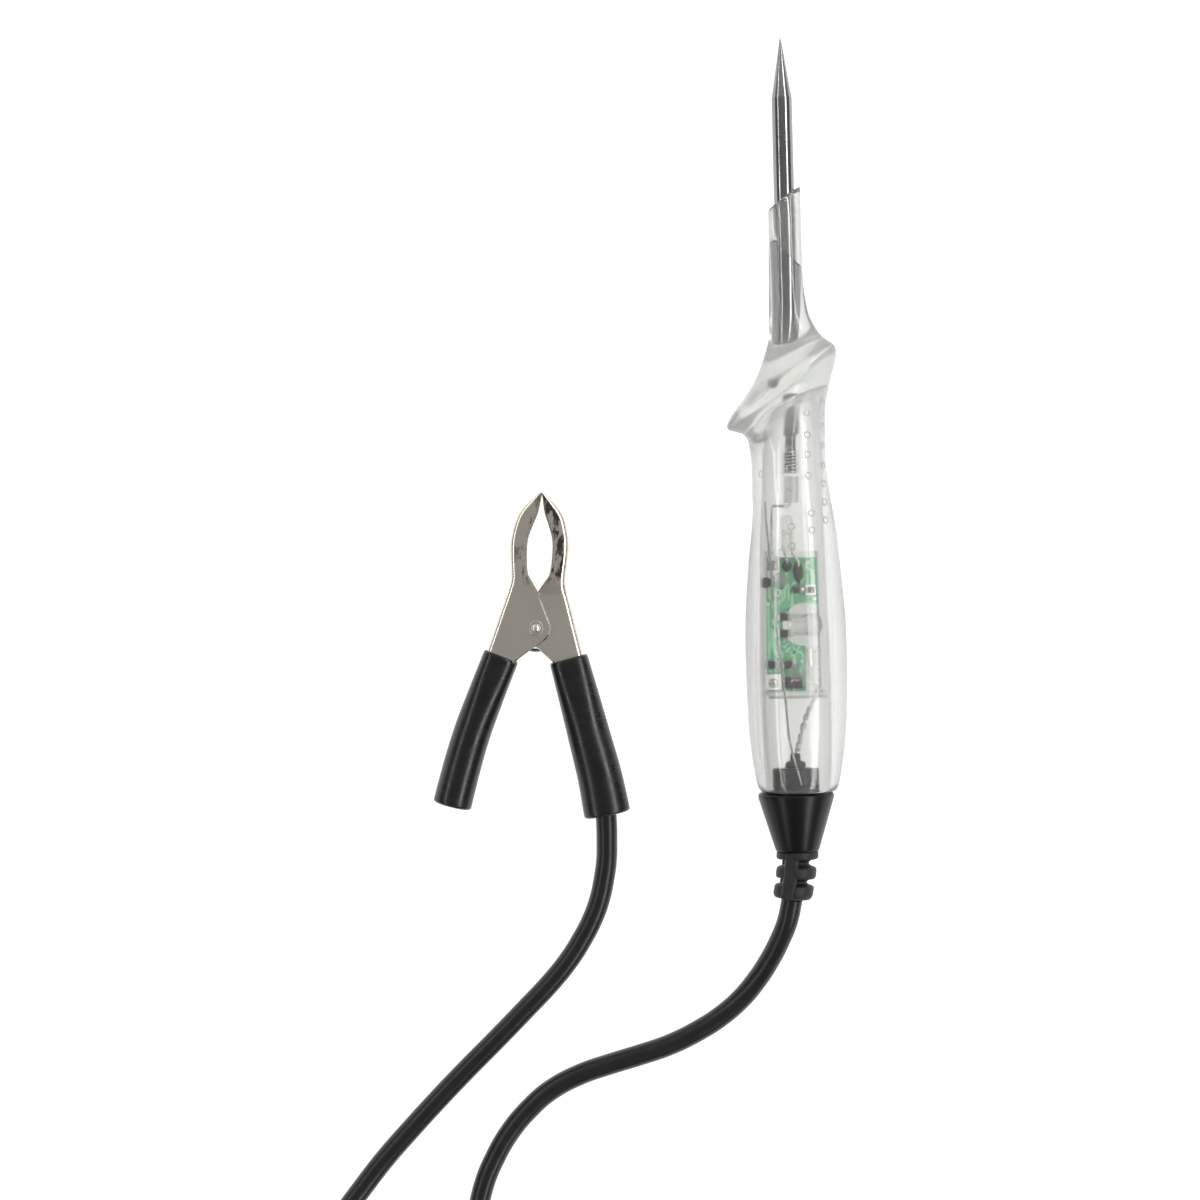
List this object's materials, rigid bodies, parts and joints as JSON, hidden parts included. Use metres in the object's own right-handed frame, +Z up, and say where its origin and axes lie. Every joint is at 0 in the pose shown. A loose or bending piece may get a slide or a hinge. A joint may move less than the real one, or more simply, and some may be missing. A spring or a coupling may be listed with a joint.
{
  "type": "circuit test light",
  "caption": "Hand-held circuit tester: steel needle in a clear guarded handle with lamps on a small board, and a long earth lead to a spring clip with vinyl grips.",
  "frame": {"origin": "bottom centre of the handle assembly, from the needle's point to the end of the strain relief, as it lies on a table", "axes": "+Y runs along the handle towards the needle's point, +Z is up from the table, +X is to the right seen from above"},
  "size_m": [0.1701, 0.3807, 0.0248],
  "materials": {
    "needle_steel": "polished ground steel",
    "clear_plastic": "clear, glossy",
    "lamp_epoxy": "water-clear epoxy",
    "spring_steel": "bright wire",
    "tinned_wire": "tinned copper",
    "solder": "bright solder",
    "board_green": "solder mask",
    "chip_black": "moulded",
    "white_ceramic": "satin",
    "cap_black": "satin black",
    "relief_rubber": "matt",
    "cord_jacket": "satin black",
    "plated_steel": "nickel plated",
    "grip_vinyl": "dipped vinyl, glossy",
    "tie_black": "matt"
  },
  "bodies": {
    "tester": {"probe_needle": "needle_steel", "contact_spring": "spring_steel", "contact_post": "clear_plastic", "contact_lead": "tinned_wire", "handle_housing": "clear_plastic", "circuit_board": "board_green", "led_small": "lamp_epoxy", "led_small_lead_a": "tinned_wire", "led_small_joint_a": "solder", "led_small_lead_b": "tinned_wire", "led_small_joint_b": "solder", "led_large": "lamp_epoxy", "led_large_lead_a": "tinned_wire", "led_large_lead_b": "tinned_wire", "led_side": "lamp_epoxy", "chip_resistor_1": "chip_black", "chip_resistor_2": "chip_black", "chip_resistor_3": "chip_black", "chip_resistor_4": "chip_black", "diode": "white_ceramic", "transistor": "chip_black", "board_terminal": "white_ceramic", "contact_lug": "tinned_wire", "solder_bead": "solder", "lead_joint": "solder", "board_carrier": "clear_plastic", "carrier_stake_1": "clear_plastic", "carrier_stake_2": "clear_plastic", "ground_conductor": "tinned_wire", "sense_wire": "tinned_wire", "end_cap": "cap_black", "seal_ring": "relief_rubber", "cord_collar": "cap_black", "cable_inner_end": "cord_jacket", "strain_relief": "relief_rubber", "cord_coil": "cord_jacket", "cord_handle_run": "cord_jacket", "cord_clip_run": "cord_jacket", "cord_tie": "tie_black", "clip_jaw_fixed": "plated_steel", "clip_rivet": "plated_steel", "clip_spring": "spring_steel", "clip_grip_fixed": "grip_vinyl", "cable_clip_end": "cord_jacket", "clip_conductor": "tinned_wire", "cable_crimp": "tinned_wire"},
    "moving_jaw": {"clip_jaw_moving": "plated_steel", "clip_grip_moving": "grip_vinyl", "clip_spring_leg": "spring_steel"}
  },
  "joints": [
    {"name": "clip_hinge", "type": "hinge", "parent": "tester", "child": "moving_jaw", "pos_m": [-0.0621, -0.0375, 0.0048], "axis": [0, 0, 1], "range_deg": [0, 30], "stiffness_Nm_per_rad": 0.3, "springref_deg": -20.05}
  ]
}
